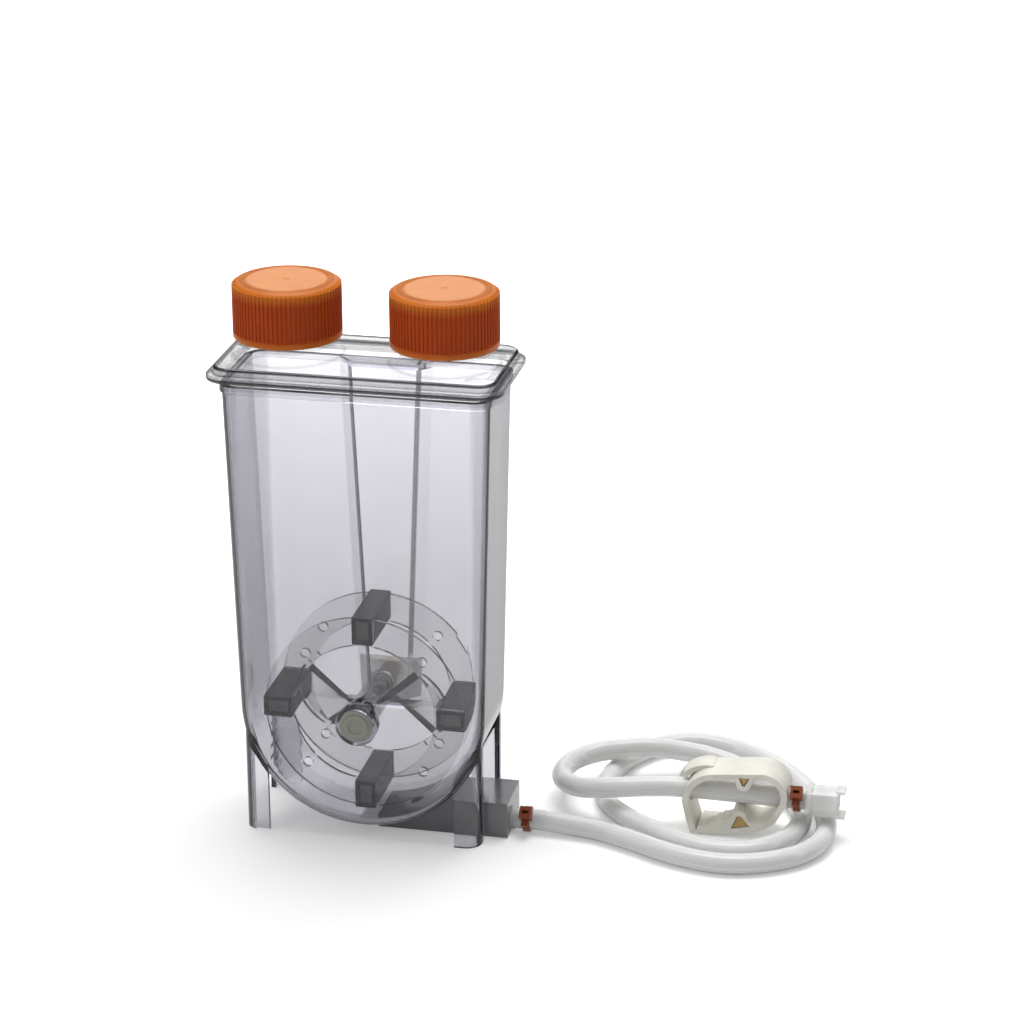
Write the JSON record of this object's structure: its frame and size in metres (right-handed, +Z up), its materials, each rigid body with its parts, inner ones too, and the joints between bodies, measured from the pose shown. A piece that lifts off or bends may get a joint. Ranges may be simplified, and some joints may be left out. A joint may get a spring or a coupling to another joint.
{
  "type": "bench bioreactor",
  "caption": "Small clear U-bottomed bench bioreactor with a vertical mixing wheel, orange screw caps and a drain hose with pinch clamp.",
  "frame": {"origin": "on the bench, under the middle of the vessel between its four legs", "axes": "+Z up, +X to the side where the drain hose leaves, -Y the front face with the axle plug's boss, +Y the rear face with the channel and the bearing carrier"},
  "size_m": [0.2366, 0.1132, 0.215],
  "materials": {
    "clear_body": "clear moulded plastic with a faint blue-grey tint",
    "clear_lid": "clear moulded plastic with a faint violet-grey tint",
    "orange_cap": "satin orange polypropylene",
    "liner": "white foamed liner",
    "clear_wheel": "clear moulded plastic",
    "bush": "plain bearing plastic",
    "smoke_block": "dark smoke plastic",
    "magnet": "plated magnet",
    "plug_grey": "grey-green machined plastic",
    "pin_dark": "dark grey-green machined plastic",
    "cream": "cream plastic",
    "smoke_port": "dark smoke plastic, polished edges",
    "clear_fitting": "clear moulded plastic",
    "hose_tube": "milky flexible tube",
    "tie_brown": "orange-brown heat-stabilised nylon",
    "ivory": "ivory moulded acetal",
    "seal": "white silicone"
  },
  "bodies": {
    "vessel": {"vessel_tub": "clear_body", "lid": "clear_lid", "front_axle_plug": "plug_grey", "rear_axle_pin": "pin_dark", "rear_bearing_carrier": "cream", "port_block": "smoke_port", "hose_barb": "clear_fitting", "hose": "hose_tube", "inlet_cable_tie": "tie_brown", "outlet_cable_tie": "tie_brown", "pinch_clamp": "ivory", "end_connector": "clear_fitting", "connector_seal": "seal"},
    "wheel": {"wheel_front_half": "clear_wheel", "wheel_rear_half": "clear_wheel", "hub_bush_front": "bush", "hub_bush_rear": "bush", "block_top": "smoke_block", "block_right": "smoke_block", "block_bottom": "smoke_block", "block_left": "smoke_block", "magnet_top": "magnet", "magnet_right": "magnet", "magnet_bottom": "magnet", "magnet_left": "magnet"},
    "left_liner": {"cap_liner_left": "liner"},
    "left_cap": {"cap_left": "orange_cap"},
    "right_liner": {"cap_liner_right": "liner"},
    "right_cap": {"cap_right": "orange_cap"}
  },
  "joints": [
    {"name": "wheel_spin", "type": "hinge", "parent": "vessel", "child": "wheel", "pos_m": [0, 0, 0.0491], "axis": [0, 1, 0], "continuous": true},
    {"name": "left_cap_lift", "type": "slide", "parent": "vessel", "child": "left_liner", "axis": [0, 0, 1], "range_m": [0, 0.0063]},
    {"name": "left_cap_turn", "type": "hinge", "parent": "left_liner", "child": "left_cap", "pos_m": [-0.0298, 0, 0.2], "axis": [0, 0, 1], "range_deg": [0, 540]},
    {"name": "right_cap_lift", "type": "slide", "parent": "vessel", "child": "right_liner", "axis": [0, 0, 1], "range_m": [0, 0.0063]},
    {"name": "right_cap_turn", "type": "hinge", "parent": "right_liner", "child": "right_cap", "pos_m": [0.0298, 0, 0.2], "axis": [0, 0, 1], "range_deg": [0, 540]}
  ],
  "couplings": [
    {"joint": "left_cap_turn", "follows": "left_cap_lift", "rad_per_m": 1485},
    {"joint": "right_cap_turn", "follows": "right_cap_lift", "rad_per_m": 1485}
  ]
}
